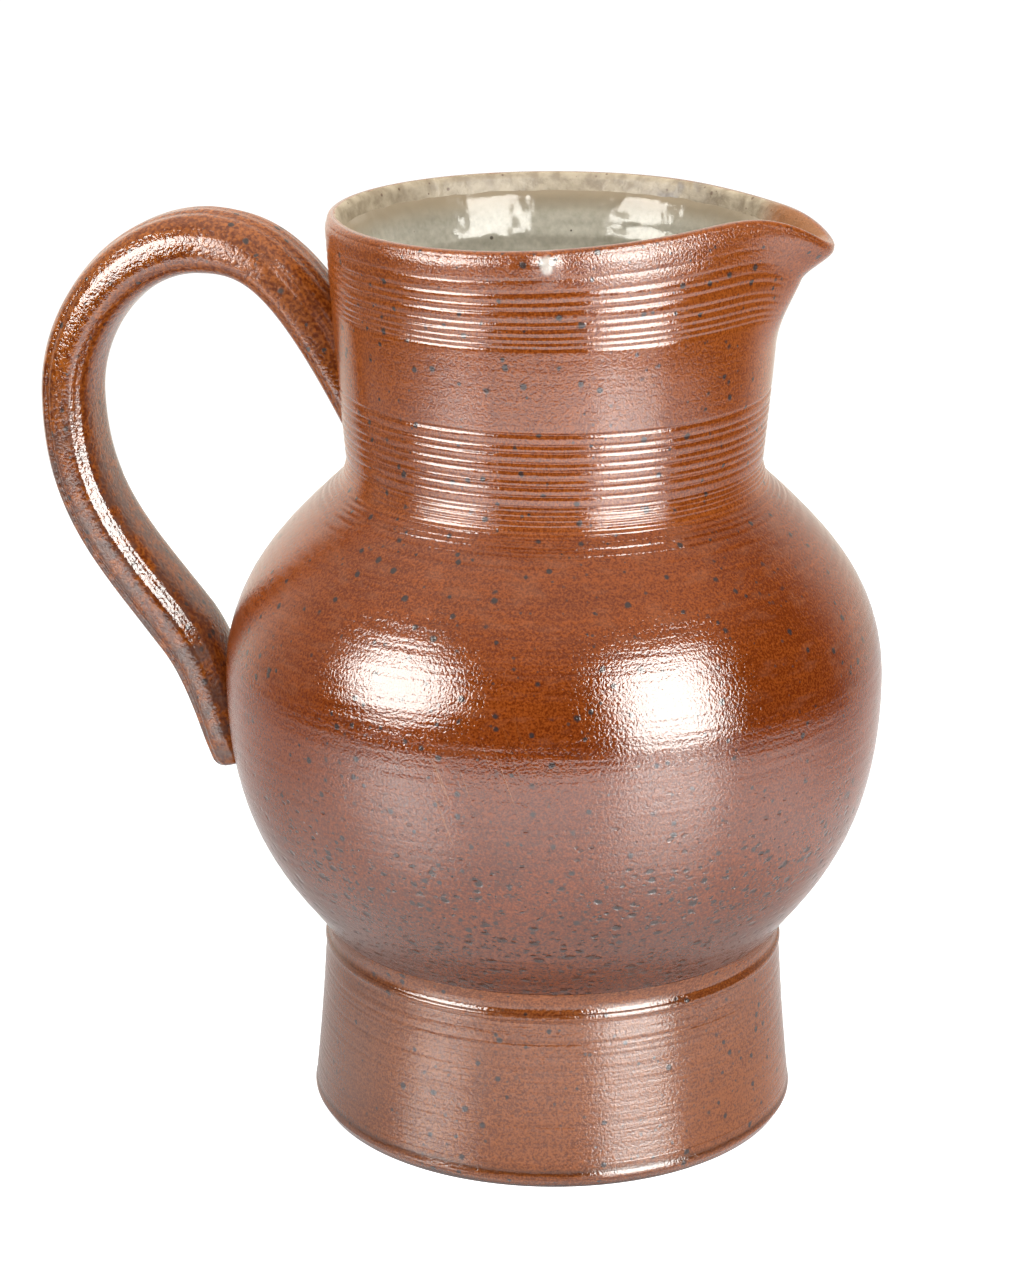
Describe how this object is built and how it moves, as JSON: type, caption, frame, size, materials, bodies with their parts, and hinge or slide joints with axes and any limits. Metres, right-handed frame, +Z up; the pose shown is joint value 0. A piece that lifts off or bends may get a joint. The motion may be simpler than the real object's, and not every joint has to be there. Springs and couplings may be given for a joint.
{
  "type": "water_pitcher",
  "caption": "Hand-thrown stoneware water pitcher with a flared foot, round belly, combed collar neck, pulled spout and fluted strap handle",
  "frame": {"origin": "on the pot's axis, in the plane that the foot rests on", "axes": "+Z up the pot's axis, +X towards the spout, -X towards the handle"},
  "size_m": [0.23, 0.1766, 0.2514],
  "materials": {
    "brown_glaze": "glossy orange-brown salt glaze with iron specks",
    "foot_glaze": "glossy paler brown salt glaze with iron specks",
    "grey_glaze": "glossy grey-green liner glaze"
  },
  "bodies": {
    "root": {"foot_ring": "foot_glaze", "foot_collar": "foot_glaze", "belly": "brown_glaze", "neck": "brown_glaze", "handle": "brown_glaze", "lining": "grey_glaze"}
  },
  "joints": []
}
